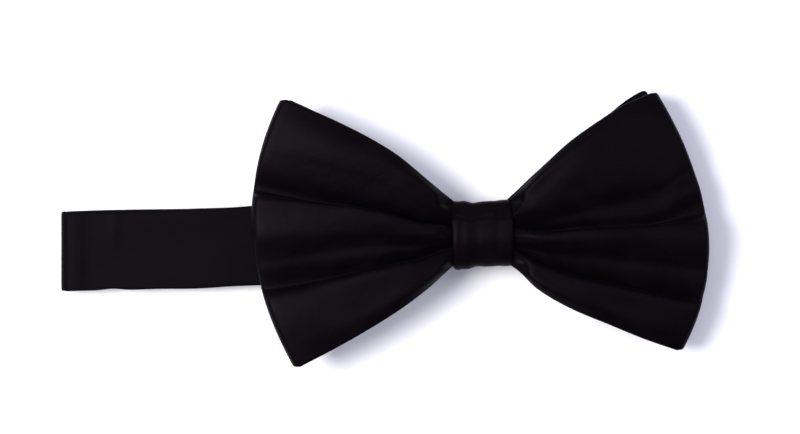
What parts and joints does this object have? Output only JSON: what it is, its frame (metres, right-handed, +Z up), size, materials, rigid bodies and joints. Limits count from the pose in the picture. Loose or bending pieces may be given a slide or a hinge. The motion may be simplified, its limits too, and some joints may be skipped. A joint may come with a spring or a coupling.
{
  "type": "bow tie",
  "caption": "Pre-tied satin bow tie lying flat, with two gathered loops, a wrapped knot and an adjustable neck band that closes with a hook and eye.",
  "frame": {"origin": "on the surface that the bow tie lies on, straight under the middle of the knot, on the underside of the band's lowest strand", "axes": "+X along the neck band, from its fold at the left to the right wing as the bow is seen from the front; +Y across the band, towards the bow's upper edge; +Z up, out of the bow's front"},
  "size_m": [0.1697, 0.0682, 0.0166],
  "materials": {
    "bow_satin": "soft satin, black with a cool sheen",
    "band_satin": "soft satin, black",
    "interlining": "brushed woven interlining, off-white",
    "thread": "spun polyester thread, black",
    "metal": "nickel plate"
  },
  "bodies": {
    "bow": {"front_loop": "bow_satin", "front_interlining": "interlining", "rear_loop": "bow_satin", "rear_interlining": "interlining", "gather_thread": "thread", "knot_wrap": "bow_satin", "knot_stitches": "thread", "neck_band": "band_satin", "band_slack": "band_satin", "band_left_fold": "band_satin"},
    "eye_strand": {"band_eye_side": "band_satin", "eye_tack": "thread"},
    "eye": {"eye": "metal"},
    "loop_end": {"band_loop_bend": "band_satin", "band_return": "band_satin"},
    "hook": {"hook": "metal"},
    "slider": {"slider": "metal", "band_tail": "band_satin", "slider_tack": "thread"}
  },
  "joints": [
    {"name": "band_opening", "type": "hinge", "parent": "bow", "child": "eye_strand", "pos_m": [-0.1102, 0, 0.004], "axis": [0, 1, 0], "range_deg": [0, 170], "deforming": ["band_left_fold"]},
    {"name": "eye_swing", "type": "hinge", "parent": "eye_strand", "child": "eye", "pos_m": [0.022, 0, 0.00105], "axis": [0, 1, 0], "range_deg": [-3, 90]},
    {"name": "loop_slide", "type": "slide", "parent": "bow", "child": "loop_end", "axis": [1, 0, 0], "range_m": [-0.036, 0.009], "deforming": ["band_slack"]},
    {"name": "slider_slide", "type": "slide", "parent": "loop_end", "child": "slider", "axis": [1, 0, 0], "range_m": [-0.036, 0.009], "deforming": ["band_return"]},
    {"name": "hook_swing", "type": "hinge", "parent": "loop_end", "child": "hook", "pos_m": [-0.04, 0, 0.00473], "axis": [0, 1, 0], "range_deg": [-5, 6]}
  ],
  "couplings": [
    {"joint": "slider_slide", "follows": "loop_slide", "ratio": 1}
  ]
}
